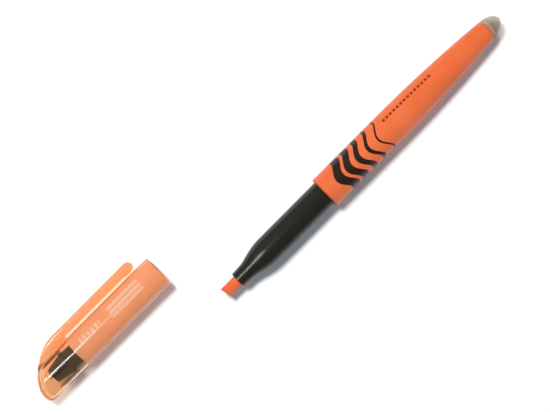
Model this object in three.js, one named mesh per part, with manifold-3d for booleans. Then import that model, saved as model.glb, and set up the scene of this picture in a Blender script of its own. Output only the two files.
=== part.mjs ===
// Capped highlighter: a pen with a chisel nib and a soft rear tip, lying beside its clip cap.
// Millimetres, +Z up. The pen's axis runs along X with the nib at the -X end, and both pieces
// lie on the plane z = 0. The origin is the middle of the whole object at that plane.
import * as THREE from 'three';
import { mergeVertices } from 'three/addons/utils/BufferGeometryUtils.js';
import Module from 'manifold-3d';

const wasm = await Module();
wasm.setup();

// ---- Driving dimensions ------------------------------------------------------------------

const SIDES = 40;                  // facets round the casings; one of them faces straight down
const SMALL_SIDES = 20;            // facets round the small inner pieces

const CASING_RADIUS = 5.8;         // barrel and cap body, across the flats
const BARREL_WALL = 0.95;
const GRIP_RADIUS = 4.8;
const COLLAR_RADIUS = 2.85;        // the short neck that the nib comes out of
const SPIGOT_RADIUS = 4.5;         // the front section's plug inside the barrel
const NIB_RADIUS = 1.95;
const RESERVOIR_RADIUS = 2.85;     // over the film sleeve
const FILM = 0.15;                 // thickness of the sleeve
const TAIL_RADIUS = 3.6;           // barrel at its rear edge
const TIP_RADIUS = 3.5;            // the soft dome behind it
const PLUG_RADIUS = 2.9;           // the plug's rounded end inside the dome
const BREATHER_RADIUS = 0.4;
const BREATHER_OFFSET = 3.35;      // from the pen's axis, in the space beside the reservoir
const FIT = 0.05;                  // gap between pieces that are pressed together

// Stations along the pen's axis, from the nib's tip.
const COLLAR_FRONT = 6.4;
const COLLAR_BACK = 10.4;
const GRIP_FRONT = 20.5;
const BARREL_FRONT = 47.0;
const SPIGOT_BACK = 57.0;
const TAPER_START = 74.0;
const BARREL_BACK = 123.0;
const PEN_LENGTH = 128.6;
const RESERVOIR_FRONT = 18.0;
const RESERVOIR_BACK = 98.0;
const NIB_TAIL = 4.0;              // how far the nib's tail reaches into the reservoir
const PLUG_FRONT = 118.0;
const PLUG_BACK = 124.6;

// The cap, from its mouth (0) to its closed end.
const CAP_LENGTH = 56.0;
const CAP_BORE = 5.0;
const CAP_END_WALL = 1.2;          // along the axis, at the closed end
const CAP_FLAT_START = 37.0;       // where the closed end starts to flatten
const CAP_END_FLATNESS = 0.5;      // its height over its width at the very end
const CAP_SLANT_START = 40.0;      // where the clip's top starts to curve down to the closed end
const CAP_CORNER_RUN = 2.2;        // rounding of the closed end's far corner, along the axis
const CAP_CORNER_RISE = 2.6;       // and across it
const CLIP_TOP = 9.8;              // clip's outer face, from the cap's axis
const CLIP_UNDER = 6.5;            // clip's inner face, from the cap's axis
const CLIP_NUB = 0.35;             // height of the nub under its tip
const CLIP_WIDTH = 4.4;
const CLIP_ROOT = 37.6;            // where the clip parts from the cap's body
const FIN_FOOT = 5.4;              // the clip's fin is sunk into the cap's wall to this height
const CLIP_TIP = 4.4;
const SEAL_MOUTH = 38.0;           // inner cap, distances from the cap's mouth
const SEAL_BEAD = 42.6;            // the ring that the cap's ribs hold
const SEAL_BEAD_RADIUS = 4.1;
const SEAL_BACK = 49.2;
const SEAL_RADIUS = 3.65;
const SEAL_TIP_RADIUS = 2.6;
const SEAL_WALL = 0.55;
const RIB = 0.8;
const RIB_FRONT = 41.0;
const RIB_BACK = 51.2;

// How the cap lies beside the pen.
const CAP_OFFSET = 20.8;           // between the two axes
const CAP_GAP = 9.7;               // from the cap's mouth to the nib's tip, along the axis

// ---- Shapes ------------------------------------------------------------------------------

// A body of revolution about X. The profile is a list of [x, radius] pairs, and the radii are
// measured across the flats. It runs towards -X along the outside.
function turned(profile, sides) {
  const acrossCorners = 1 / Math.cos(Math.PI / sides);
  const points = profile.map(([x, radius]) => new THREE.Vector2(radius * acrossCorners, x));
  const geometry = new THREE.LatheGeometry(points.reverse(), sides, Math.PI / sides);
  return geometry.rotateZ(-Math.PI / 2);
}

// A ring or tube: its profile is closed by repeating the first point.
function tube(profile, sides) {
  return turned([...profile, profile[0]], sides);
}

// A side outline in the XY plane, given thickness along Z about z = 0.
function slab(shape, thickness) {
  const options = { depth: thickness, bevelEnabled: false, curveSegments: 10 };
  return new THREE.ExtrudeGeometry(shape, options).translate(0, 0, -thickness / 2);
}

function outline(points) {
  return new THREE.Shape(points.map(([x, y]) => new THREE.Vector2(x, y)));
}

function solid(geometry) {
  const bare = geometry.clone();
  bare.deleteAttribute('normal');
  bare.deleteAttribute('uv');
  const merged = mergeVertices(bare, 1e-5);
  const vertProperties = new Float32Array(merged.attributes.position.array);
  const triVerts = new Uint32Array(merged.index.array);
  return new wasm.Manifold(new wasm.Mesh({ numProp: 3, vertProperties, triVerts }));
}

function surface(manifold) {
  const mesh = manifold.getMesh();
  const geometry = new THREE.BufferGeometry();
  geometry.setAttribute('position', new THREE.BufferAttribute(mesh.vertProperties, 3));
  geometry.setIndex(new THREE.BufferAttribute(mesh.triVerts, 1));
  geometry.computeVertexNormals();
  return geometry;
}

function piece(name, geometry, material) {
  const mesh = new THREE.Mesh(geometry, material);
  mesh.name = name;
  return mesh;
}

function plastic(color, roughness, opacity = 1) {
  return new THREE.MeshStandardMaterial({
    color, roughness, metalness: 0, opacity, transparent: opacity < 1,
  });
}

// ---- Pen ---------------------------------------------------------------------------------

// The barrel keeps its full width over the front half, then narrows in a shallow curve. This
// is the outside radius at station x, less an inset for the inside.
function barrelRadius(x) {
  const along = Math.max(0, (x - TAPER_START) / (BARREL_BACK - TAPER_START));
  return CASING_RADIUS - (CASING_RADIUS - TAIL_RADIUS) * along ** 2.1;
}

function barrel() {
  const taperSteps = 8;
  const stations = [];
  for (let step = 0; step <= taperSteps; step += 1) {
    stations.push(TAPER_START + (BARREL_BACK - TAPER_START) * step / taperSteps);
  }
  const outside = stations.map((x) => [x, barrelRadius(x)]).reverse();
  const inside = stations
    .filter((x) => x < PLUG_FRONT)
    .map((x) => [x, barrelRadius(x) - BARREL_WALL]);
  const bore = SPIGOT_RADIUS + FIT;
  const plugBore = TAIL_RADIUS - BARREL_WALL;
  return tube([
    ...outside,
    [BARREL_FRONT + 0.3, CASING_RADIUS],
    [BARREL_FRONT, CASING_RADIUS - 0.3],
    [BARREL_FRONT, bore],
    [SPIGOT_BACK + 1, bore],
    [SPIGOT_BACK + 2, CASING_RADIUS - BARREL_WALL],
    ...inside,
    [PLUG_FRONT, plugBore],
    [BARREL_BACK, plugBore],
  ], SIDES);
}

// Collar, cone, grip and the spigot that plugs into the barrel, in one moulding.
function frontSection() {
  const nibBore = NIB_RADIUS + FIT;
  const wellRadius = RESERVOIR_RADIUS + 1.0;
  const cone = [[18.4, 4.72], [16.0, 4.42], [13.4, 3.85], [11.6, 3.3]];
  return tube([
    [SPIGOT_BACK, SPIGOT_RADIUS - 0.3],
    [SPIGOT_BACK - 0.6, SPIGOT_RADIUS],
    [BARREL_FRONT - FIT, SPIGOT_RADIUS],
    [BARREL_FRONT - FIT, GRIP_RADIUS],
    [GRIP_FRONT, GRIP_RADIUS],
    ...cone,
    [COLLAR_BACK, COLLAR_RADIUS + 0.15],
    [COLLAR_FRONT + 0.3, COLLAR_RADIUS],
    [COLLAR_FRONT, COLLAR_RADIUS - 0.25],
    [COLLAR_FRONT, nibBore],
    [RESERVOIR_FRONT - 1.5, nibBore],
    [RESERVOIR_FRONT - 0.5, wellRadius - 1.2],
    [RESERVOIR_FRONT + 2, wellRadius],
    [SPIGOT_BACK, wellRadius],
  ], SIDES);
}

// A felt rod: a slanted chisel at the front, a thinner tail that feeds from the reservoir.
function nib() {
  const tailRadius = 1.0;
  const shoulder = RESERVOIR_FRONT - 0.3;
  const rod = solid(turned([
    [RESERVOIR_FRONT + NIB_TAIL, 0],
    [RESERVOIR_FRONT + NIB_TAIL, tailRadius],
    [shoulder, tailRadius],
    [shoulder - 1.2, NIB_RADIUS],
    [0, NIB_RADIUS],
    [0, 0],
  ], SMALL_SIDES));
  const slant = solid(slab(outline([[-1, -3], [1.1, -3], [-0.1, 3], [-1, 3]]), 8));
  const bevelRise = 2.6;
  const bevel = solid(slab(outline([[-1, 0.5], [0, 0.5], [bevelRise, 3], [-1, 3]]), 8)
    .rotateX(Math.PI / 2));
  const underBevel = solid(slab(outline([[-1, -3], [1.4, -3], [0, -1.2], [-1, -1.2]]), 8)
    .rotateX(Math.PI / 2));
  return surface(rod.subtract(slant).subtract(bevel).subtract(underBevel));
}

// Bundled fibre with a socket for the nib's tail.
function reservoirCore() {
  const socket = 1.0 + FIT;
  const radius = RESERVOIR_RADIUS - FILM - FIT;
  return turned([
    [RESERVOIR_BACK, 0],
    [RESERVOIR_BACK, radius],
    [RESERVOIR_FRONT, radius],
    [RESERVOIR_FRONT, socket],
    [RESERVOIR_FRONT + NIB_TAIL + 0.3, socket],
    [RESERVOIR_FRONT + NIB_TAIL + 0.3, 0],
  ], SMALL_SIDES);
}

function reservoirSleeve() {
  const inner = RESERVOIR_RADIUS - FILM;
  return tube([
    [RESERVOIR_BACK, RESERVOIR_RADIUS],
    [RESERVOIR_FRONT + 2, RESERVOIR_RADIUS],
    [RESERVOIR_FRONT + 2, inner],
    [RESERVOIR_BACK, inner],
  ], SMALL_SIDES);
}

// The fine tube beside the reservoir that lets air in behind the ink.
function breatherTube() {
  const front = 24;
  const back = RESERVOIR_BACK + 4;
  const inner = BREATHER_RADIUS - 0.15;
  return tube([
    [back, BREATHER_RADIUS],
    [front, BREATHER_RADIUS],
    [front, inner],
    [back, inner],
  ], 12);
}

// The plug's rounded end, or with a gap the hollow that it sits in.
function plugEnd(gap) {
  const steps = 5;
  const shoulder = BARREL_BACK + 0.3;
  const points = [];
  for (let step = 0; step <= steps; step += 1) {
    const angle = Math.PI / 2 * step / steps;
    const x = shoulder + (PLUG_BACK - shoulder) * Math.cos(angle);
    points.push([x + gap, (PLUG_RADIUS + gap) * Math.sin(angle)]);
  }
  points[0][1] = 0;
  return points;
}

// The plug that closes the barrel. The soft rear tip is moulded over its rounded end.
function tailPlug() {
  const stem = TAIL_RADIUS - BARREL_WALL - FIT;
  const skirt = 0.8;
  const front = PLUG_FRONT + 0.2;
  const floor = BARREL_BACK - 1.0;
  const flange = BARREL_BACK + FIT;
  return turned([
    ...plugEnd(0),
    [flange, PLUG_RADIUS],
    [flange, stem],
    [front, stem],
    [front, stem - skirt],
    [floor, stem - skirt],
    [floor, 0],
  ], SMALL_SIDES);
}

// A soft dome over the plug's end.
function rearTip() {
  const steps = 8;
  const front = BARREL_BACK + FIT;
  const outside = [];
  for (let step = 0; step <= steps; step += 1) {
    const along = Math.cos(Math.PI / 2 * step / steps);
    const x = front + (PEN_LENGTH - front) * along;
    outside.push([x, TIP_RADIUS * (1 - along ** 2) ** 0.62]);
  }
  outside[0][1] = 0;
  const hollow = plugEnd(FIT).reverse();
  return turned([
    ...outside,
    [front, PLUG_RADIUS + FIT],
    ...hollow,
  ], SMALL_SIDES);
}

// ---- Cap ---------------------------------------------------------------------------------

// The cap's side view, closed end at the left: the clip's top runs into a slanted round end.
function capSide() {
  const far = -CASING_RADIUS;
  const end = -CAP_LENGTH;
  const below = 1;
  const side = new THREE.Shape();
  side.moveTo(0, far - below);
  side.lineTo(0, CLIP_TOP);
  side.lineTo(-CAP_SLANT_START, CLIP_TOP);
  side.bezierCurveTo(-CAP_SLANT_START - 7, CLIP_TOP, end, 3, end, far + CAP_CORNER_RISE);
  side.quadraticCurveTo(end, far, end + CAP_CORNER_RUN, far);
  side.lineTo(end + CAP_CORNER_RUN, far - below);
  side.closePath();
  return side;
}

// The cap's height at x as a share of its width: round at the mouth, flatter at the closed end.
function capFlatness(x) {
  const along = Math.max(0, (-x - CAP_FLAT_START) / (CAP_LENGTH - CAP_FLAT_START));
  return 1 - (1 - CAP_END_FLATNESS) * along ** 1.35;
}

// A round bar from its front end to past the closed end, flattened and trimmed to the cap's side
// view. For the hollow inside, both are moved towards the mouth by shift.
function capForm(front, radius, shift) {
  const steps = 9;
  const stations = [];
  for (let step = 0; step <= steps; step += 1) {
    stations.push([-CAP_FLAT_START - (CAP_LENGTH - CAP_FLAT_START) * step / steps, radius]);
  }
  const bar = solid(turned([...front, ...stations, [-CAP_LENGTH, 0]], SIDES)).warp((vertex) => {
    vertex[2] *= capFlatness(vertex[0] - shift);
  });
  const side = slab(capSide(), 4 * CASING_RADIUS).translate(shift, 0, 0);
  return bar.intersect(solid(side));
}

function capShell() {
  const side = solid(slab(capSide(), CLIP_WIDTH + 2));
  const finBlank = outline([
    [-CLIP_ROOT, FIN_FOOT],
    [-CLIP_ROOT, CLIP_TOP + 1],
    [-CAP_LENGTH, CLIP_TOP + 1],
    [-CAP_LENGTH, FIN_FOOT - 2],
    [-CAP_LENGTH + 3.5, FIN_FOOT - 2],
    [-CAP_LENGTH + 6, FIN_FOOT],
  ]);
  const fin = solid(slab(finBlank, CLIP_WIDTH)).intersect(side);
  const lip = 0.25;
  const mouth = [[0, 0], [0, CASING_RADIUS - lip], [-lip, CASING_RADIUS]];
  const form = capForm(mouth, CASING_RADIUS, 0);
  const hollow = capForm([[1, 0], [1, CAP_BORE]], CAP_BORE, CAP_END_WALL);
  return surface(form.add(fin).subtract(hollow).add(ribs(form)));
}

// Four ribs inside the closed end hold the inner cap by its bead.
function ribs(form) {
  const inner = solid(turned([
    [0, 0],
    [0, SEAL_BEAD_RADIUS + FIT],
    [-CAP_LENGTH, SEAL_BEAD_RADIUS + FIT],
    [-CAP_LENGTH, 0],
  ], SIDES));
  const length = RIB_BACK - RIB_FRONT;
  const middle = -(RIB_FRONT + RIB_BACK) / 2;
  const span = 2 * CAP_BORE + 0.2;
  const upright = new THREE.BoxGeometry(length, span, RIB).translate(middle, 0, 0);
  const across = new THREE.BoxGeometry(length, RIB, span).translate(middle, 0, 0);
  return solid(upright).add(solid(across)).intersect(form).subtract(inner);
}

// The clip's free arm, from the fin on the cap to its rounded tip with a small nub under it.
function capClip() {
  const root = CLIP_ROOT - 0.3;
  const side = outline([
    [-root, CLIP_UNDER],
    [-CLIP_TIP - 5.0, CLIP_UNDER],
    [-CLIP_TIP - 4.0, CLIP_UNDER - CLIP_NUB],
    [-CLIP_TIP - 2.2, CLIP_UNDER - CLIP_NUB],
    [-CLIP_TIP - 0.4, CLIP_UNDER + 0.7],
    [-CLIP_TIP, CLIP_UNDER + 1.4],
    [-CLIP_TIP - 0.3, CLIP_TOP - 1.0],
    [-CLIP_TIP - 1.5, CLIP_TOP],
    [-root, CLIP_TOP],
  ]);
  const half = CLIP_WIDTH / 2;
  const plan = new THREE.Shape();
  plan.moveTo(-root, -half);
  plan.lineTo(-CLIP_TIP - half, -half + 0.2);
  plan.absarc(-CLIP_TIP - half, 0, half - 0.2, -Math.PI / 2, Math.PI / 2);
  plan.lineTo(-root, half);
  plan.closePath();
  const thick = 4 * CLIP_TOP;
  return surface(solid(slab(side, CLIP_WIDTH)).intersect(
    solid(slab(plan, thick).rotateX(Math.PI / 2)),
  ));
}

// The dark cup that closes over the collar and keeps the nib wet.
function innerCap() {
  const bore = SEAL_RADIUS - SEAL_WALL;
  const beadHalf = 0.35;
  return turned([
    [-SEAL_BACK + 0.75, 0],
    [-SEAL_BACK + 0.75, SEAL_TIP_RADIUS - SEAL_WALL],
    [-SEAL_BEAD - 0.5, bore],
    [-SEAL_MOUTH, bore],
    [-SEAL_MOUTH, SEAL_RADIUS - 0.1],
    [-SEAL_BEAD + 2 * beadHalf, SEAL_RADIUS + 0.1],
    [-SEAL_BEAD + beadHalf, SEAL_BEAD_RADIUS],
    [-SEAL_BEAD - beadHalf, SEAL_BEAD_RADIUS],
    [-SEAL_BEAD - 2 * beadHalf, SEAL_RADIUS + 0.1],
    [-SEAL_BACK + 0.4, SEAL_TIP_RADIUS],
    [-SEAL_BACK, SEAL_TIP_RADIUS - 0.4],
    [-SEAL_BACK, 0],
  ], SIDES);
}

// ---- Assembly ----------------------------------------------------------------------------

const orange = plastic(0xef6f38, 0.35);
const black = plastic(0x23231d, 0.3);
const felt = plastic(0xff5a28, 0.9);
const fibre = plastic(0xf07a4a, 0.95);
const film = plastic(0xe8e8e2, 0.3);
const ventPlastic = plastic(0xd8d8d0, 0.5);
const clearTip = plastic(0x9a8c78, 0.4, 0.7);
const clearOrange = plastic(0xf4a070, 0.25, 0.6);
const clipOrange = plastic(0xee8538, 0.25, 0.8);
const sealBlack = plastic(0x1c1a16, 0.5);
const beadPlastic = plastic(0x808080, 0.5);

const pen = new THREE.Group();
pen.add(piece('barrel', barrel(), orange));
pen.add(piece('front_section', frontSection(), black));
pen.add(piece('nib', nib(), felt));
pen.add(piece('reservoir_core', reservoirCore(), fibre));
pen.add(piece('reservoir_sleeve', reservoirSleeve(), film));
const breather = piece('breather_tube', breatherTube(), ventPlastic);
breather.position.z = BREATHER_OFFSET;
pen.add(breather);
pen.add(piece('tail_plug', tailPlug(), orange.clone()));
pen.add(piece('rear_tip', rearTip(), clearTip));

// A bead in the free space under the reservoir. It stands for nothing on the real pen: it is
// the link between the two slides that carry the loose cap.
const bead = piece('cap_path_bead', new THREE.OctahedronGeometry(0.45, 1), beadPlastic);
bead.position.set(30, 0, -BREATHER_OFFSET);
pen.add(bead);

const cap = new THREE.Group();
cap.position.set(-CAP_GAP, CAP_OFFSET, 0);
cap.add(piece('cap_shell', capShell(), clearOrange));
cap.add(piece('cap_clip', capClip(), clipOrange));
cap.add(piece('inner_cap', innerCap(), sealBlack));

const highlighter = new THREE.Group();
highlighter.add(pen, cap);
highlighter.position.set(
  -(PEN_LENGTH - CAP_GAP - CAP_LENGTH) / 2,
  -(CAP_OFFSET + CLIP_TOP - CASING_RADIUS) / 2,
  CASING_RADIUS,
);

export default highlighter;
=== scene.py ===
# The look of the capped highlighter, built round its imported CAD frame. Everything is in metres.
import math

import bmesh
import bpy
import numpy as np
from mathutils import Matrix, Vector


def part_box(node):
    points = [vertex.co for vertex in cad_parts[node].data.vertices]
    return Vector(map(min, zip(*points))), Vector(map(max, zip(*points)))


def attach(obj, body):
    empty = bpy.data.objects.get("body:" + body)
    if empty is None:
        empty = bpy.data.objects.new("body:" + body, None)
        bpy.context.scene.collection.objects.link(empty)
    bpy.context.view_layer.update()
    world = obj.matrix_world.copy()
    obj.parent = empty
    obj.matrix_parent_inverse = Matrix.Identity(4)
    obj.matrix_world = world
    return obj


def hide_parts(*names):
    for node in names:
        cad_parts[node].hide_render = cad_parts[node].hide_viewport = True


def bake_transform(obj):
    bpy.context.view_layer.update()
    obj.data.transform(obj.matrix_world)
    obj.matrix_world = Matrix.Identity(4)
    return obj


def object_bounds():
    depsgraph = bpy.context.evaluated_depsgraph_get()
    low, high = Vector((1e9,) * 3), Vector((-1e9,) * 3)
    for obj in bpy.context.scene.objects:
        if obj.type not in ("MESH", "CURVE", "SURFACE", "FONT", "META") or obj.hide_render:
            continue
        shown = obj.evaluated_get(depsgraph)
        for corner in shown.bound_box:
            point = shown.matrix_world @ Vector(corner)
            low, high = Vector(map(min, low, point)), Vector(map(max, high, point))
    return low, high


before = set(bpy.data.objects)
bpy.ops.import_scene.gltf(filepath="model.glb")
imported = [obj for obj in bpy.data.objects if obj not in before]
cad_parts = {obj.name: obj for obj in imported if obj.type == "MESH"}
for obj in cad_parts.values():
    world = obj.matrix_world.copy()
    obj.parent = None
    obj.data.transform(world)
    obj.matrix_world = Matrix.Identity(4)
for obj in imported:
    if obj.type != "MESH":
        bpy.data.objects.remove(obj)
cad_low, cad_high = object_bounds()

MM = 0.001
ROUND = 144                                            # points round a turned piece
HAIR = 0.05 * MM                                       # clearance between pieces that meet


# ---- Where the CAD pieces are ------------------------------------------------------------

def middle(node):
    """The centre of a CAD node's box."""
    low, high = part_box(node)
    return (low + high) / 2


barrel_low, barrel_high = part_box("barrel")
front_low, front_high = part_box("front_section")
nib_low, nib_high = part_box("nib")
tip_low, tip_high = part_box("rear_tip")
plug_low, plug_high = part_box("tail_plug")
seal_low, seal_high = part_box("inner_cap")
shell_low, shell_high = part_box("cap_shell")
clip_low, clip_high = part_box("cap_clip")

PEN_AXIS = middle("barrel")
CAP_AXIS = middle("inner_cap")
CASING = (barrel_high.z - barrel_low.z) / 2            # radius of the barrel and the cap
GRIP = (front_high.z - front_low.z) / 2
NIB = (nib_high.z - nib_low.z) / 2
TIP = (tip_high.z - tip_low.z) / 2
PLUG = (plug_high.z - plug_low.z) / 2
BARREL_LENGTH = barrel_high.x - barrel_low.x
BARREL_WALL = 0.95 * MM
CAP_LENGTH = shell_high.x - shell_low.x
CAP_BORE = CASING - 0.8 * MM
CLIP_NUB = 0.35 * MM                                   # the bump under the clip's tip
CLIP_TOP = clip_high.y - CAP_AXIS.y
CLIP_UNDER = clip_low.y - CAP_AXIS.y + CLIP_NUB
CLIP_HALF = (clip_high.z - clip_low.z) / 2

# Stations of the cap, measured from its mouth towards the closed end. The cap's pieces have
# the mouth at x = 0 and the closed end on the minus side.
MOUTH_X = shell_high.x
CLIP_ROOT = MOUTH_X - clip_low.x
CLIP_TIP = MOUTH_X - clip_high.x
SEAL_MOUTH = MOUTH_X - seal_high.x
SEAL_BEAD = 42.6 * MM
SEAL_BACK = MOUTH_X - seal_low.x
SLANT_START = 40 * MM
CAP_PLACE = (MOUTH_X, CAP_AXIS.y, CAP_AXIS.z)


def on_pen(x):
    """The point of the pen's axis at x."""
    return (x, PEN_AXIS.y, PEN_AXIS.z)


# ---- Mesh helpers ------------------------------------------------------------------------

def finish_piece(name, mesh, place, body, nodes, material, edge=35):
    """Turns a mesh into a piece at a place, riding on a body and standing for CAD nodes."""
    piece = bpy.data.objects.new(name, mesh)
    bpy.context.scene.collection.objects.link(piece)
    piece.location = place
    mesh.materials.append(material)
    mesh.shade_smooth()
    mesh.set_sharp_from_angle(angle=math.radians(edge))
    if body:
        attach(piece, body)
    if nodes:
        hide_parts(*nodes)
    return piece


def mesh_from_rings(name, rings, close=False):
    """Joins rings of points, each ring a list of (x, y, z) with the same count, into a skin.

    A ring of one point is a pole. With close, the last ring joins the first, as in a tube.
    """
    mesh = bpy.data.meshes.new(name)
    build = bmesh.new()
    loops = [[build.verts.new(point) for point in ring] for ring in rings]
    pairs = list(zip(loops, loops[1:]))
    if close:
        pairs.append((loops[-1], loops[0]))
    for first, second in pairs:
        count = max(len(first), len(second))
        for i in range(count):
            j = (i + 1) % count
            corners = [first[i % len(first)], first[j % len(first)],
                       second[j % len(second)], second[i % len(second)]]
            unique = list(dict.fromkeys(corners))
            if len(unique) > 2:
                build.faces.new(unique)
    bmesh.ops.recalc_face_normals(build, faces=build.faces)
    build.to_mesh(mesh)
    build.free()
    return mesh


def turned(name, profile, close=False, count=ROUND):
    """A body of revolution about local X from (x, radius) pairs; radius 0 is a pole."""
    rings = []
    for x, radius in profile:
        if radius < 1e-9:
            rings.append([(x, 0, 0)])
            continue
        turns = [2 * math.pi * (i + 0.5) / count for i in range(count)]
        rings.append([(x, radius * math.sin(a), radius * math.cos(a)) for a in turns])
    return mesh_from_rings(name, rings, close)


def rounded(profile, radius, steps=4, closed=True):
    """The same outline with its corners rounded off, so that no edge is knife sharp."""
    points = [Vector(p) for p in profile]
    made = []
    for i, corner in enumerate(points):
        ends = not closed and i in (0, len(points) - 1)
        before, after = points[i - 1], points[(i + 1) % len(points)]
        if ends or corner.y < 1e-9:
            made.append(tuple(corner))
            continue
        back, on = before - corner, after - corner
        turn = math.pi - back.angle(on, math.pi)
        if turn < math.radians(12):
            made.append(tuple(corner))
            continue
        cut = min(radius * math.tan(turn / 2), back.length * 0.45, on.length * 0.45)
        start, stop = corner + back.normalized() * cut, corner + on.normalized() * cut
        for step in range(steps + 1):
            t = step / steps
            bend = start.lerp(corner, t).lerp(corner.lerp(stop, t), t)
            made.append(tuple(bend))
    return made


# ---- Material helpers --------------------------------------------------------------------

class Look:
    """A material under construction: each call adds a node and gives back its output."""

    def __init__(self, name):
        self.material = bpy.data.materials.new(name)
        self.material.use_nodes = True
        self.tree = self.material.node_tree
        self.tree.nodes.clear()
        self.output = self.tree.nodes.new("ShaderNodeOutputMaterial")

    def put(self, socket, value):
        if isinstance(value, bpy.types.NodeSocket):
            self.tree.links.new(value, socket)
        else:
            socket.default_value = value

    def node(self, kind, inputs=None, **settings):
        made = self.tree.nodes.new(kind)
        for key, value in settings.items():
            setattr(made, key, value)
        for key, value in (inputs or {}).items():
            self.put(made.inputs[key], value)
        return made

    def math(self, operation, a, b=0.0, c=0.0, clamp=False):
        made = self.node("ShaderNodeMath", {0: a, 1: b, 2: c}, operation=operation)
        made.use_clamp = clamp
        return made.outputs[0]

    def place(self):
        """The point in the piece's own axes, in millimetres."""
        where = self.node("ShaderNodeTexCoord").outputs["Object"]
        return self.node("ShaderNodeVectorMath", {0: where, "Scale": 1 / MM},
                         operation="SCALE").outputs["Vector"]

    def axes(self, vector):
        """The x, y and z of a point."""
        parts = self.node("ShaderNodeSeparateXYZ", {"Vector": vector})
        return parts.outputs["X"], parts.outputs["Y"], parts.outputs["Z"]

    def noise(self, vector, scale, detail=3.0, stretch=(1, 1, 1), roughness=0.5):
        if stretch != (1, 1, 1):
            vector = self.node("ShaderNodeVectorMath", {0: vector, 1: stretch},
                               operation="MULTIPLY").outputs["Vector"]
        made = self.node("ShaderNodeTexNoise", {"Vector": vector, "Scale": scale,
                                                "Detail": detail, "Roughness": roughness})
        return made.outputs["Fac"]

    def fit(self, value, low, high, to_low, to_high, smooth=False):
        """Maps low..high to to_low..to_high, clamped."""
        kind = "SMOOTHSTEP" if smooth else "LINEAR"
        made = self.node("ShaderNodeMapRange",
                         {"Value": value, "From Min": low, "From Max": high,
                          "To Min": to_low, "To Max": to_high}, interpolation_type=kind)
        return made.outputs["Result"]

    def spread(self, noise, low=0.0, high=1.0):
        """Spreads a noise, most of which lies between 0.3 and 0.7, over low..high."""
        return self.fit(noise, 0.3, 0.7, low, high)

    def inside(self, distance, soft=0.06):
        """1 where distance is below 0, 0 above it, over an edge of that softness in mm."""
        return self.fit(distance, -soft, soft, 1.0, 0.0, smooth=True)

    def between(self, value, low, high, soft=0.06):
        """1 where value is from low to high."""
        over = self.inside(self.math("SUBTRACT", low, value), soft)
        under = self.inside(self.math("SUBTRACT", value, high), soft)
        return self.math("MULTIPLY", over, under)

    def both(self, a, b):
        return self.math("MULTIPLY", a, b)

    def either(self, *masks):
        total = masks[0]
        for mask in masks[1:]:
            total = self.math("MAXIMUM", total, mask)
        return total

    def mix(self, share, a, b):
        made = self.node("ShaderNodeMix", {0: share, 6: a, 7: b}, data_type="RGBA")
        return made.outputs[2]

    def bump(self, height, distance, strength=1.0):
        made = self.node("ShaderNodeBump", {"Height": height, "Distance": distance,
                                            "Strength": strength})
        return made.outputs["Normal"]

    def principled(self, **inputs):
        shader = self.node("ShaderNodeBsdfPrincipled")
        for key, value in inputs.items():
            self.put(shader.inputs[key.replace("_", " ")], value)
        return shader

    def fill_with(self, colour, density):
        """Absorption inside the piece: it deepens with the thickness."""
        volume = self.node("ShaderNodeVolumeAbsorption", {"Color": colour, "Density": density})
        self.tree.links.new(volume.outputs[0], self.output.inputs["Volume"])

    def done(self, shader):
        self.tree.links.new(shader, self.output.inputs["Surface"])
        return self.material


def rgb(red, green, blue):
    return (red, green, blue, 1.0)


# ---- Materials ---------------------------------------------------------------------------

def around(look, y, z):
    """The angle round the axis from the top, in radians, growing towards -Y."""
    minus_y = look.math("MULTIPLY", y, -1.0)
    return look.math("ARCTAN2", minus_y, z)


def barrel_print(look, vector, along, angle):
    """Masks for even dark waves round the barrel, thinner towards the rear, with a painted shadow
    line along its front edge, and a dashed rule.

    Everything here is in mm. Along runs from the barrel's front edge; angle is from the top,
    growing towards -Y.
    """
    first, pitch, count = 8.4, 4.4, 5
    last = first + pitch * (count - 1)
    widest, narrowest = 1.75, 0.35
    swing, waves_round = 1.3, 3.0
    bleed = 0.05
    shadow_line_width, shadow_line_strength = 0.35, 0.55
    ragged = look.fit(look.noise(vector, 2.0, 2.0), 0.2, 0.8, -bleed, bleed)
    along = look.math("ADD", along, ragged)
    wave = look.math("COSINE", look.math("MULTIPLY", angle, waves_round))
    shifted = look.math("MULTIPLY_ADD", wave, swing, along)
    from_middle = look.math("PINGPONG", look.math("SUBTRACT", shifted, first), pitch / 2)
    half = look.fit(shifted, first, last, widest, narrowest)
    waves = look.both(look.inside(look.math("SUBTRACT", from_middle, half)),
                      look.between(shifted, first - pitch / 2, last + pitch / 2))
    # Painted shadow: a dark line along the barrel's front edge, where the grip meets it, joined to
    # the waves' mask.
    edge = look.inside(look.math("SUBTRACT", along, shadow_line_width), 0.15)
    print_and_shadow_line = look.either(waves, look.math("MULTIPLY", edge, shadow_line_strength))

    rule_start, rule_stop = 30.0, 52.0
    rule_y, rule_half = -3.4, 0.5
    dash_pitch, dash_half = 1.6, 0.5
    soft = 0.12
    across = look.math("MULTIPLY", angle, CASING / MM)
    off_rule = look.math("ABSOLUTE", look.math("SUBTRACT", across, rule_y))
    dash = look.math("PINGPONG", along, dash_pitch / 2)
    rule = look.both(look.inside(look.math("SUBTRACT", dash, dash_half), soft),
                     look.inside(look.math("SUBTRACT", off_rule, rule_half), soft))
    return print_and_shadow_line, look.both(rule, look.between(along, rule_start, rule_stop))


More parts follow.
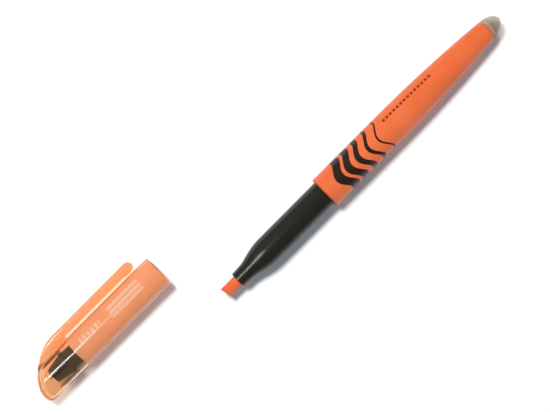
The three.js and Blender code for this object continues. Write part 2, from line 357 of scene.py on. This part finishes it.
def orange_look():
    """Opaque orange moulding with its print, and a painted shadow line at the barrel's front edge.
    """
    dark, light = rgb(0.72, 0.13, 0.034), rgb(0.77, 0.155, 0.046)
    rule_ink, wave_and_shadow_colour = rgb(0.25, 0.022, 0.008), rgb(0.022, 0.01, 0.009)
    look = Look("orange_plastic")
    vector = look.place()
    x, y, z = look.axes(vector)
    print_and_shadow_line, rule = barrel_print(look, vector, x, around(look, y, z))
    cloud = look.noise(vector, 0.09, 3.0)
    base = look.mix(look.spread(cloud), dark, light)
    base = look.mix(rule, base, rule_ink)
    # The dark waves and the painted shadow line at the front edge share this one colour.
    base = look.mix(print_and_shadow_line, base, wave_and_shadow_colour)
    grain = look.noise(vector, 9.0, 4.0)
    rough = look.math("MULTIPLY_ADD", grain, 0.12, 0.3)
    rough = look.math("SUBTRACT", rough, look.math("MULTIPLY", print_and_shadow_line, 0.08))
    height = look.math("MULTIPLY_ADD", look.either(print_and_shadow_line, rule), 0.5,
                       look.math("MULTIPLY", grain, 0.25))
    shader = look.principled(Base_Color=base, Roughness=rough, IOR=1.5, Specular_IOR_Level=0.28,
                             Normal=look.bump(height, 0.00003))
    return look.done(shader.outputs[0])


def plain_orange_look():
    """The same moulding without print, for the plug."""
    look = Look("orange_plain")
    vector = look.place()
    cloud = look.noise(vector, 0.3, 3.0)
    base = look.mix(cloud, rgb(0.72, 0.11, 0.03), rgb(0.8, 0.15, 0.045))
    grain = look.noise(vector, 9.0, 4.0)
    rough = look.math("MULTIPLY_ADD", grain, 0.12, 0.34)
    shader = look.principled(Base_Color=base, Roughness=rough, IOR=1.5,
                             Normal=look.bump(grain, 0.00001))
    return look.done(shader.outputs[0])


def black_look():
    """Near-black gloss plastic with faint rings from turning of the mould."""
    look = Look("black_plastic")
    vector = look.place()
    cloud = look.noise(vector, 0.25, 4.0)
    base = look.mix(cloud, rgb(0.011, 0.0105, 0.006), rgb(0.017, 0.016, 0.01))
    rings = look.noise(vector, 5.0, 2.0, stretch=(2.0, 0.05, 0.05))
    grain = look.noise(vector, 14.0, 3.0)
    rough = look.math("MULTIPLY_ADD", grain, 0.14, 0.2)
    height = look.math("MULTIPLY_ADD", rings, 0.5, look.math("MULTIPLY", grain, 0.3))
    shader = look.principled(Base_Color=base, Roughness=rough, IOR=1.5, Specular_IOR_Level=0.36,
                             Normal=look.bump(height, 0.00001))
    return look.done(shader.outputs[0])


def felt_look():
    """Pressed felt soaked in ink: fibres along the rod, and blots of brighter ink."""
    look = Look("inked_felt")
    vector = look.place()
    fibres = look.noise(vector, 3.0, 6.0, stretch=(0.25, 1.6, 1.6), roughness=0.7)
    blots = look.noise(vector, 0.7, 2.0)
    base = look.mix(look.spread(fibres), rgb(0.7, 0.07, 0.015), rgb(0.88, 0.17, 0.04))
    base = look.mix(look.fit(blots, 0.55, 0.75, 0, 0.5), base, rgb(0.8, 0.22, 0.03))
    shader = look.principled(Base_Color=base, Roughness=0.85, Sheen_Weight=0.3,
                             Sheen_Roughness=0.5, Normal=look.bump(fibres, 0.00012))
    return look.done(shader.outputs[0])


def let_light_through(look, glass, shade):
    """Glass to look at, but a plain tint of that shade to the light that falls through it."""
    through = look.node("ShaderNodeBsdfTransparent", {"Color": rgb(*shade)})
    path = look.node("ShaderNodeLightPath")
    mixed = look.node("ShaderNodeMixShader", {0: path.outputs["Is Shadow Ray"],
                                              1: glass.outputs[0], 2: through.outputs[0]})
    return look.done(mixed.outputs[0])


def tinted_look(name, see_through, ior, tint, shade, rough, print_mask=None):
    """Translucent orange moulding. Tint colours each surface, and the fill deepens the colour
    with the thickness. Shade is the tint of the light that falls through. Rough is a low and a
    high roughness. Where the mask that print_mask makes is 1, there is pale print.
    """
    pale_ink = rgb(1.0, 0.66, 0.47)
    cloudy = [part * 0.94 for part in tint]
    look = Look(name)
    vector = look.place()
    grain = look.noise(vector, 3.0, 4.0)
    cloud = look.noise(vector, 0.2, 3.0)
    colour = look.mix(look.spread(cloud), rgb(*tint), rgb(*cloudy))
    if print_mask:
        colour = look.mix(print_mask(look, *look.axes(vector)), colour, pale_ink)
    glass = look.principled(Base_Color=colour, Roughness=look.spread(grain, *rough), IOR=ior,
                            Transmission_Weight=see_through, Normal=look.bump(grain, 0.00001))
    look.fill_with(rgb(0.962, 0.536, 0.194), 200.0)
    return let_light_through(look, glass, shade)


def sleeve_print(look, x, y, z):
    """Three equal plain bars with round ends, and a row of small dashes, on the upper face.

    Everything here is in mm, from the cap's mouth and its axis.
    """
    bar_x, bar_length, bar_half = -14.0, 13.0, 0.52
    bar_rows = (-0.2, 1.4, 3.0)
    dash_pitch, dash_half = 1.8, 0.6
    row_start, row_stop = -34.6, -25.2
    row_low, row_high = 1.0, 2.7
    masks = []
    for bar_y in bar_rows:
        over = look.math("ABSOLUTE", look.math("SUBTRACT", x, bar_x))
        over = look.math("MAXIMUM", look.math("SUBTRACT", over, bar_length / 2), 0.0)
        across = look.math("SUBTRACT", y, bar_y)
        radius = look.math("SQRT", look.math("ADD", look.math("MULTIPLY", over, over),
                                             look.math("MULTIPLY", across, across)))
        masks.append(look.inside(look.math("SUBTRACT", radius, bar_half), 0.15))
    dash = look.math("PINGPONG", x, dash_pitch / 2)
    row = look.both(look.inside(look.math("SUBTRACT", dash, dash_half), 0.15),
                    look.between(x, row_start, row_stop, 0.1))
    masks.append(look.both(row, look.between(y, row_low, row_high, 0.2)))
    upper = look.inside(look.math("MULTIPLY", z, -1.0), 0.1)
    return look.both(look.either(*masks), upper)


def cap_look():
    """The cap's clear closed end."""
    return tinted_look("clear_orange", see_through=0.975, ior=1.36, tint=(1.0, 0.79, 0.57),
                       shade=(0.8, 0.78, 0.79), rough=(0.04, 0.1))


def clip_look():
    """The clip, which is thick and so looks deepest from the side."""
    return tinted_look("clear_orange_clip", see_through=0.94, ior=1.45, tint=(0.95, 0.55, 0.34),
                       shade=(1.0, 0.96, 0.92), rough=(0.04, 0.1))


def sleeve_look():
    """The cap's sleeve, milkier than its closed end, with its print."""
    return tinted_look("milky_orange", see_through=0.5, ior=1.45, tint=(1.0, 0.47, 0.225),
                       shade=(0.48, 0.46, 0.48), rough=(0.12, 0.16), print_mask=sleeve_print)


def seal_look():
    """Near-black soft moulding."""
    look = Look("seal_plastic")
    vector = look.place()
    cloud = look.noise(vector, 0.6, 4.0)
    base = look.mix(cloud, rgb(0.012, 0.008, 0.005), rgb(0.025, 0.017, 0.011))
    grain = look.noise(vector, 10.0, 3.0)
    rough = look.math("MULTIPLY_ADD", grain, 0.2, 0.4)
    shader = look.principled(Base_Color=base, Roughness=rough, Normal=look.bump(grain, 0.00002))
    return look.done(shader.outputs[0])


def tip_look():
    """Soft translucent grey-beige rubber."""
    look = Look("soft_clear_tip")
    vector = look.place()
    grain = look.noise(vector, 4.0, 4.0)
    glass = look.principled(Base_Color=rgb(0.93, 0.89, 0.85),
                            Roughness=look.spread(grain, 0.1, 0.18), IOR=1.1,
                            Transmission_Weight=0.92, Normal=look.bump(grain, 0.00003))
    look.fill_with(rgb(0.4, 0.26, 0.08), 230.0)
    return let_light_through(look, glass, (0.8, 0.79, 0.78))


def hidden_look(name, dark, light, rough, stretch=(1, 1, 1), scale=3.0):
    """A simple grained material for the pieces inside the pen."""
    look = Look(name)
    vector = look.place()
    grain = look.noise(vector, scale, 4.0, stretch=stretch)
    base = look.mix(look.spread(grain), dark, light)
    shader = look.principled(Base_Color=base, Roughness=rough, Normal=look.bump(grain, 0.00003))
    return look.done(shader.outputs[0])


def floor_look():
    """A plain pale sheet, without gloss."""
    look = Look("floor")
    vector = look.place()
    tone = look.noise(vector, 0.01, 2.0)
    base = look.mix(tone, rgb(0.93, 0.93, 0.93), rgb(0.95, 0.95, 0.95))
    shader = look.principled(Base_Color=base, Roughness=0.9, Specular_IOR_Level=0.1)
    return look.done(shader.outputs[0])


# ---- Pen ---------------------------------------------------------------------------------

def barrel_radius(share):
    """Outside radius at a share of the barrel's length: straight, then narrowing."""
    straight = 27 / 76
    tail = 3.6 * MM
    bow = 2.1
    along = max(0.0, (share - straight) / (1 - straight))
    return CASING - (CASING - tail) * along ** bow


def build_barrel():
    """A tube with a narrow front bore for the spigot and a straight rear bore for the plug."""
    bore, bore_depth = 4.55 * MM, 11 * MM
    plug_bore, plug_depth = barrel_radius(1) - BARREL_WALL, BARREL_LENGTH - 5 * MM
    steps = 40
    shares = [i / steps for i in range(1, steps + 1)]
    outside = [(s * BARREL_LENGTH, barrel_radius(s)) for s in shares]
    inside = [(s * BARREL_LENGTH, barrel_radius(s) - BARREL_WALL) for s in shares
              if bore_depth + 1.2 * MM < s * BARREL_LENGTH < plug_depth]
    profile = [
        (0, bore), (0, CASING), *outside,
        (BARREL_LENGTH, plug_bore), (plug_depth, plug_bore),
        *reversed(inside),
        (bore_depth + MM, CASING - BARREL_WALL), (bore_depth, bore),
    ]
    mesh = turned("barrel_body", rounded(profile, 0.3 * MM), close=True)
    return finish_piece("barrel_body", mesh, on_pen(barrel_low.x), "pen", ["barrel"],
                        orange_look())


def build_front_section():
    """Collar, cone, grip and the spigot inside the barrel."""
    length = front_high.x - front_low.x
    collar, collar_base = 2.85 * MM, 2.97 * MM
    chamfer, chamfer_run = 0.1 * MM, 0.5 * MM
    cone_start, cone_stop, cone_ease = 4.0 * MM, 14.1 * MM, 1.25
    grip_end = barrel_low.x - front_low.x - HAIR
    spigot, well = 4.5 * MM, 3.85 * MM
    nib_bore, nib_bore_end = NIB + HAIR, 10.1 * MM
    steps = 14
    cone = []
    for i in range(1, steps + 1):
        t = i / steps
        rise = math.sin(t * math.pi / 2) ** cone_ease
        cone.append((cone_start + (cone_stop - cone_start) * t,
                     collar_base + (GRIP - collar_base) * rise))
    profile = [
        (0, nib_bore), (0, collar - chamfer), (chamfer_run, collar), (cone_start, collar_base),
        *cone, (grip_end, GRIP), (grip_end, spigot), (length, spigot), (length, well),
        (nib_bore_end + 3.5 * MM, well), (nib_bore_end + MM, well - 1.2 * MM),
        (nib_bore_end, nib_bore),
    ]
    mesh = turned("grip_section", rounded(profile, 0.22 * MM), close=True)
    return finish_piece("grip_section", mesh, on_pen(front_low.x), "pen", ["front_section"],
                        black_look(), edge=50)


def build_nib():
    """A felt rod cut to a slanted chisel, with worn edges and a thinner feed tail."""
    length = nib_high.x - nib_low.x
    tail = 1.0 * MM
    tail_start = length - 4.3 * MM
    taper = 1.2 * MM
    wear = 0.22 * MM
    profile = [(0, 0), (0, NIB), (tail_start - taper, NIB), (tail_start, tail), (length, tail),
               (length, 0)]
    mesh = turned("chisel_nib", profile, count=48)
    build = bmesh.new()
    build.from_mesh(mesh)
    cuts = [
        ((0.5 * MM, 0, 0), (-1, -0.2, 0)),                   # slanted end
        ((0, 0, 0.5 * MM), (-1, 0, 1.04)),                   # bevel above
        ((0, 0, -1.2 * MM), (-1, 0, -0.78)),                 # bevel below
    ]
    for point, normal in cuts:
        everything = build.verts[:] + build.edges[:] + build.faces[:]
        cut = bmesh.ops.bisect_plane(build, geom=everything, plane_co=point, plane_no=normal,
                                     clear_outer=True, dist=1e-8)
        rim = [e for e in cut["geom_cut"] if isinstance(e, bmesh.types.BMEdge)]
        bmesh.ops.holes_fill(build, edges=rim, sides=0)
    bmesh.ops.recalc_face_normals(build, faces=build.faces)
    build.to_mesh(mesh)
    build.free()
    piece = finish_piece("chisel_nib", mesh, on_pen(nib_low.x), "pen", ["nib"],
                         felt_look())
    soften = piece.modifiers.new("worn_edges", "BEVEL")
    soften.width = wear
    soften.segments = 3
    soften.limit_method = "ANGLE"
    soften.angle_limit = math.radians(25)
    return piece


def plug_end(length, gap):
    """The plug's rounded end behind the barrel's rear edge, or the hollow round it.

    Gap is 0 for the end itself and the clearance for the hollow.
    """
    steps = 14
    turns = [math.pi / 2 * i / steps for i in range(steps + 1)]
    shoulder = 0.3 * MM
    points = [(shoulder + (length - shoulder) * math.sin(a) + gap, (PLUG + gap) * math.cos(a))
              for a in turns]
    points[-1] = (points[-1][0], 0)
    return points


def build_tail_plug():
    """A hollow stem in the barrel's rear bore, with a flange and a rounded end behind it."""
    stem, skirt = 2.6 * MM, 0.8 * MM
    edge = barrel_high.x - plug_low.x
    bulge = plug_high.x - barrel_high.x
    floor = edge - 1.0 * MM
    flange = edge + HAIR
    end = [(edge + x, r) for x, r in plug_end(bulge, 0)]
    profile = [(floor, 0), (floor, stem - skirt), (0, stem - skirt), (0, stem), (flange, stem),
               (flange, PLUG), *end]
    mesh = turned("tail_post", rounded(profile, 0.15 * MM, closed=False))
    return finish_piece("tail_post", mesh, on_pen(plug_low.x), "pen", ["tail_plug"],
                        plain_orange_look())


def build_rear_tip():
    """A dome over the plug's end, a little more pointed than half an ellipsoid."""
    length = tip_high.x - tip_low.x
    point = 0.62                                       # 0.5 would be the ellipsoid
    steps = 30
    outside = []
    for i in range(steps + 1):
        along = math.sin(math.pi / 2 * i / steps)
        outside.append((length * along, TIP * max(0.0, 1 - along ** 2) ** point))
    outside[-1] = (length, 0)
    hollow = [(x - HAIR, r) for x, r in plug_end(plug_high.x - barrel_high.x, HAIR)]
    profile = [*reversed(hollow), (0, PLUG + HAIR), *outside]
    mesh = turned("rubber_tip", profile)
    return finish_piece("rubber_tip", mesh, on_pen(tip_low.x), "pen", ["rear_tip"],
                        tip_look())


# ---- Cap ---------------------------------------------------------------------------------

def bezier(points, steps):
    """Points along a Bezier curve of any order."""
    order = len(points) - 1
    made = []
    for i in range(steps + 1):
        t = i / steps
        spot = Vector((0, 0))
        for k, point in enumerate(points):
            spot += Vector(point) * math.comb(order, k) * t ** k * (1 - t) ** (order - k)
        made.append(spot)
    return made


def cap_side():
    """The cap's side view from the clip's top round the slanted end to the far side.

    The far side opens outwards from the corner, so that the round sleeve lies inside it.
    """
    top, far, back = CLIP_TOP, -CASING, -CAP_LENGTH
    slant_pull, end_pull = 7 * MM, 3 * MM
    corner_run, corner_rise = 2.2 * MM, 2.6 * MM
    opening = 1.6 * MM
    turn = far + corner_rise
    slope = bezier([(-SLANT_START, top), (-SLANT_START - slant_pull, top), (back, end_pull),
                    (back, turn)], 60)
    corner = bezier([(back, turn), (back, far), (back + corner_run, far)], 12)
    run_out = Vector((-SLANT_START / 2, far - opening))
    return np.array([Vector((0, top)), *slope, *corner[1:], run_out])


def flatness(x):
    """The cap's height at x as a share of its width: it flattens towards the closed end."""
    start = -37 * MM
    loss, bow = 0.5, 1.35
    along = np.maximum(0.0, (start - x) / (start + CAP_LENGTH))
    return 1 - loss * along ** bow


def reach(origin_x, direction, side):
    """How far from (origin_x, 0) an outline lies in a direction of its plane."""
    start, stop = side[:-1], side[1:]
    edge = stop - start
    from_origin = start - np.array([origin_x, 0.0])
    cross = direction[0] * edge[:, 1] - direction[1] * edge[:, 0]
    with np.errstate(divide="ignore", invalid="ignore"):
        far = (from_origin[:, 0] * edge[:, 1] - from_origin[:, 1] * edge[:, 0]) / cross
        share = (from_origin[:, 0] * direction[1] - from_origin[:, 1] * direction[0]) / cross
    hit = (np.abs(cross) > 1e-12) & (far > 0) & (share >= -1e-9) & (share <= 1 + 1e-9)
    return far[hit].min() if hit.any() else math.inf


def soft_least(a, b, sharpness):
    """The lesser of two distances, eased where they meet, so that the edge is rounded."""
    least = min(a, b)
    return least * ((a / least) ** -sharpness + (b / least) ** -sharpness) ** (-1 / sharpness)


def closed_end(centre_x, radius, shift, side, turns, sharpness):
    """Rings of the closed end's skin, from its pole to the plane of its centre.

    Each point lies where a ray from the centre leaves both the flattened round body, moved
    back by shift, and the side outline.
    """
    steps, halvings = 64, 40
    crowding = 0.85                                    # below 1, the rings are closer at the plane
    round_turn = np.array(turns)
    rings = []
    for step in range(steps + 1):
        tilt = math.pi / 2 * (1 - (step / steps) ** crowding)
        angles = round_turn if step else round_turn[:1]
        x = -math.sin(tilt)
        y, z = math.cos(tilt) * np.cos(angles), math.cos(tilt) * np.sin(angles)
        near, far = np.zeros(len(angles)), np.full(len(angles), 2 * CAP_LENGTH)
        for _ in range(halvings):
            halfway = (near + far) / 2
            height = radius * flatness(centre_x + halfway * x - shift)
            outside = (halfway * y / radius) ** 2 + (halfway * z / height) ** 2 > 1
            far = np.where(outside, halfway, far)
            near = np.where(outside, near, halfway)
        ring = []
        for i in range(len(angles)):
            length = soft_least(near[i], reach(centre_x, (x, y[i]), side), sharpness)
            ring.append((centre_x + length * x, length * y[i], length * z[i]))
        rings.append(ring)
    return rings


def build_cap_shell():
    """Outer skin from the slanted end to the mouth, then the hollow back to the end."""
    end_wall = 1.2 * MM
    lip = 0.25 * MM
    outer_centre, inner_centre = -36 * MM, -35 * MM
    outer_edge, inner_edge = 40.0, 30.0                # the higher, the sharper
    side = cap_side()
    turns = [2 * math.pi * (i + 0.5) / ROUND for i in range(ROUND)]
    outer = closed_end(outer_centre, CASING, 0.0, side, turns, outer_edge)
    inner = closed_end(inner_centre, CAP_BORE, end_wall, side + np.array([end_wall, 0.0]), turns,
                       inner_edge)
    sleeve_stations = (-30 * MM, -20 * MM, -10 * MM)
    profile = [(x, CASING) for x in sleeve_stations]
    profile += [(-lip + lip * math.sin(a), CASING - lip + lip * math.cos(a))
                for a in (0, 0.4, 0.8, 1.2, math.pi / 2)]
    profile += [(-lip * (1 - math.cos(a)), CAP_BORE + lip * (1 - math.sin(a)))
                for a in (0.2, 0.7, 1.2, math.pi / 2)]
    profile += [(x, CAP_BORE) for x in reversed(sleeve_stations)]
    sleeve = [[(x, r * math.cos(t), r * math.sin(t)) for t in turns] for x, r in profile]
    mesh = mesh_from_rings("cap_body", [*outer, *sleeve, *reversed(inner)])
    piece = finish_piece("cap_body", mesh, CAP_PLACE, "cap", ["cap_shell"],
                         cap_look(), edge=60)
    mesh.materials.append(sleeve_look())
    for face in mesh.polygons:
        if face.center.x > -SEAL_MOUTH:
            face.material_index = 1
    return piece


def build_cap_clip():
    """The clip from its fin on the slanted end to the tip; just past its root, a gap opens under
    it.
    """
    side = cap_side()
    foot = CASING - 0.55 * MM                 # the fin's lower edge, sunk into the cap's wall
    inset = 0.04 * MM
    root, tip = -CLIP_ROOT - 0.3 * MM, -CLIP_TIP
    gap_rise = 0.6 * MM                       # the run in which the gap opens behind the root
    count, square = 48, 7.0                   # the higher square is, the sharper the edges

    def past(x, run):
        """How far x has come through the last run before the tip: 0 before it, 1 at the tip."""
        return max(0.0, (x - (tip - run)) / run)

    def top(x):
        drop = 1.75 * MM * past(x, 1.9 * MM) ** 2.4
        return reach(x, (0.0, 1.0), side) - inset - drop

    def under(x):
        rise = min(1.0, max(0.0, (x - root) / gap_rise))
        level = foot + (CLIP_UNDER - foot) * math.sin(rise * math.pi / 2)
        nub = (x - (tip - 3.2 * MM)) / (2.0 * MM)
        if abs(nub) < 1:
            level -= CLIP_NUB * (1 - nub * nub) ** 1.2
        return level + 1.3 * MM * past(x, 1.2 * MM) ** 2.2

    def half(x):
        least = 0.35
        roundness = math.sqrt(max(0.0, 1 - past(x, CLIP_HALF) ** 2))
        return CLIP_HALF * (least + (1 - least) * roundness)

    start = next(x for x in np.arange(-54 * MM, 0, 0.05 * MM) if top(x) > foot + 0.12 * MM)
    spans = [                                 # from, to and the count of stations
        (start, -SLANT_START, 34),
        (-SLANT_START + 0.5 * MM, root - 0.3 * MM, 6),
        (root, root + gap_rise, 9),
        (root + MM, tip - 6 * MM, 26),
        (tip - 5.5 * MM, tip - 0.3 * MM, 26),
    ]
    stations = [x for span in spans for x in np.linspace(*span)]
    stations += [tip - 0.2 * MM, tip - 0.1 * MM, tip - 0.04 * MM, tip]
    rings = []
    for x in stations:
        low, high, wide = under(x), top(x), half(x)
        ring = []
        for i in range(count):
            a = 2 * math.pi * (i + 0.5) / count
            c, s = math.cos(a), math.sin(a)
            swell = (abs(c) ** square + abs(s) ** square) ** (-1 / square)
            ring.append((x, (low + high) / 2 + (high - low) / 2 * c * swell, wide * s * swell))
        rings.append(ring)
    poles = [[tuple(np.mean(np.array(ring), axis=0))] for ring in (rings[0], rings[-1])]
    mesh = mesh_from_rings("clip_arm", [poles[0], *rings, poles[1]])
    piece = finish_piece("clip_arm", mesh, CAP_PLACE, None, ["cap_clip"],
                         clip_look(), edge=50)
    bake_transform(piece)
    return piece


def build_inner_cap():
    """A cup that widens to a bead and tapers from there to its closed end."""
    wall, floor = 0.55 * MM, 0.75 * MM
    mouth, at_bead, end = 3.55 * MM, 3.73 * MM, 2.6 * MM
    bore = 3.65 * MM - wall
    bead, bead_half = (seal_high.z - seal_low.z) / 2, 0.55 * MM
    turns = [math.pi * i / 8 for i in range(9)]
    beads = [(-SEAL_BEAD + bead_half * math.cos(a), at_bead + (bead - at_bead) * math.sin(a))
             for a in turns]
    profile = [
        (-SEAL_BACK + floor, 0), (-SEAL_BACK + floor, end - wall),
        (-SEAL_BEAD - 0.5 * MM, bore), (-SEAL_MOUTH, bore),
        (-SEAL_MOUTH, mouth), *beads,
        (-SEAL_BACK, end), (-SEAL_BACK, 0),
    ]
    mesh = turned("seal_cup", rounded(profile, 0.25 * MM, closed=False))
    return finish_piece("seal_cup", mesh, CAP_PLACE, "cap_seal", ["inner_cap"],
                        seal_look())


def build_cap_ribs():
    """Four thin ribs that hold the inner cap by its bead, sunk a little into the cap's wall."""
    inner, outer = 4.15 * MM, CAP_BORE + 0.15 * MM
    front, back = -41.0 * MM, -50.0 * MM
    half_thick = 0.3 * MM
    side = [(front, outer), (front - 0.8 * MM, inner), (back, inner), (back, outer - 1.2 * MM),
            (back + 3 * MM, outer)]
    build = bmesh.new()
    for quarter in range(4):
        c, s = math.cos(quarter * math.pi / 2), math.sin(quarter * math.pi / 2)
        layers = []
        for offset in (-half_thick, half_thick):
            layers.append([build.verts.new((x, r * c - offset * s, r * s + offset * c))
                           for x, r in side])
        build.faces.new(layers[0])
        build.faces.new(layers[1])
        for i in range(len(side)):
            j = (i + 1) % len(side)
            build.faces.new([layers[0][i], layers[0][j], layers[1][j], layers[1][i]])
    bmesh.ops.recalc_face_normals(build, faces=build.faces)
    mesh = bpy.data.meshes.new("cap_ribs")
    build.to_mesh(mesh)
    build.free()
    return finish_piece("cap_ribs", mesh, CAP_PLACE, "cap", [], cap_look())


def dress_hidden_nodes():
    """The CAD pieces inside the barrel keep their shape and get a grained material."""
    looks = {
        "reservoir_core": hidden_look("inked_fibre", rgb(0.7, 0.12, 0.03),
                                      rgb(0.95, 0.3, 0.12), 0.9, stretch=(0.1, 2, 2)),
        "reservoir_sleeve": hidden_look("clear_film", rgb(0.7, 0.7, 0.68),
                                        rgb(0.85, 0.85, 0.83), 0.25),
        "breather_tube": hidden_look("vent_plastic", rgb(0.6, 0.6, 0.56),
                                     rgb(0.78, 0.78, 0.75), 0.5),
        "cap_path_bead": hidden_look("bead_plastic", rgb(0.2, 0.2, 0.2),
                                     rgb(0.26, 0.26, 0.26), 0.5),
    }
    for node, material in looks.items():
        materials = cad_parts[node].data.materials
        materials.clear()
        materials.append(material)


# ---- Floor, light and camera -------------------------------------------------------------

def build_floor():
    """A square sheet that the pen and the cap lie on."""
    half = 1.5
    mesh = bpy.data.meshes.new("floor")
    corners = [(-half, -half, 0), (half, -half, 0), (half, half, 0), (-half, half, 0)]
    mesh.from_pydata(corners, [], [(0, 1, 2, 3)])
    mesh.materials.append(floor_look())
    floor = bpy.data.objects.new("floor", mesh)
    bpy.context.scene.collection.objects.link(floor)
    floor.location.z = cad_low.z


def area_light(name, toward, distance, size, power, color=(1, 1, 1)):
    """A soft rectangular lamp at a distance in a direction from the origin, facing it."""
    data = bpy.data.lights.new(name, "AREA")
    data.shape = "RECTANGLE"
    data.size, data.size_y = size
    data.energy = power
    data.color = color
    lamp = bpy.data.objects.new(name, data)
    bpy.context.scene.collection.objects.link(lamp)
    direction = Vector(toward).normalized()
    lamp.location = direction * distance
    across = Vector((1, 0, 0))
    across = (across - direction * across.dot(direction)).normalized()
    up = direction.cross(across)
    lamp.rotation_mode = "QUATERNION"
    turn = Matrix((across, up, direction)).transposed()
    lamp.rotation_quaternion = turn.to_quaternion()
    return lamp


def hide_from(lamp, *rays):
    """Keeps a lamp from being met by rays of those kinds."""
    for kind in rays:
        setattr(lamp, f"visible_{kind}", False)


def build_lights():
    """A soft key from the +Y side and a broad low fill light the object. Three panels are seen
    only as reflections: one low on the -Y side, one on the +Y side, and a small one for glints.
    """
    world = bpy.data.worlds.new("studio")
    bpy.context.scene.world = world
    world.use_nodes = True
    background = world.node_tree.nodes["Background"]
    background.inputs["Color"].default_value = (0.86, 0.98, 1.1, 1.0)
    background.inputs["Strength"].default_value = 0.12

    high = math.radians(67)
    key = area_light("key", (0, math.cos(high), math.sin(high)), 1.5, (0.32, 0.32), 24.0,
                     (1.0, 1.0, 0.985))
    low_side, low_distance, low_size = (0, -0.88, 0.47), 1.1, (1.6, 1.1)
    fill = area_light("fill", low_side, low_distance, low_size, 4.6, (0.89, 0.99, 1.07))
    for lamp in (key, fill):
        hide_from(lamp, "glossy", "transmission")

    lower = area_light("lower_panel", low_side, low_distance, low_size, 1.1)
    glint = area_light("glint", (-0.445, 0.26, 1.0), 0.7, (0.28, 0.1), 2.6)
    upper = area_light("upper_panel", (0, 0.78, 0.62), 0.9, (1.0, 0.6), 0.7)
    for panel in (lower, glint, upper):
        hide_from(panel, "diffuse", "transmission")


def build_camera():
    """Straight above, turned so that the pen runs from the lower left to the upper right."""
    view_width = 181.5 * MM
    distance = 0.75
    roll = math.radians(-45.15)
    aim = Vector((1.0 * MM, -3.8 * MM, PEN_AXIS.z))
    data = bpy.data.cameras.new("camera")
    data.sensor_width = 36.0
    data.lens = data.sensor_width * distance / view_width
    data.clip_start, data.clip_end = 0.01, 10.0
    camera = bpy.data.objects.new("camera", data)
    bpy.context.scene.collection.objects.link(camera)
    camera.location = aim + Vector((0, 0, distance))
    camera.rotation_euler = (0, 0, roll)
    bpy.context.scene.camera = camera


build_camera()
build_floor()
build_lights()
build_barrel()
build_front_section()
build_nib()
build_tail_plug()
build_rear_tip()
build_inner_cap()
build_cap_ribs()
build_cap_shell()
build_cap_clip()
dress_hidden_nodes()

bpy.context.scene.view_settings.view_transform = "Standard"
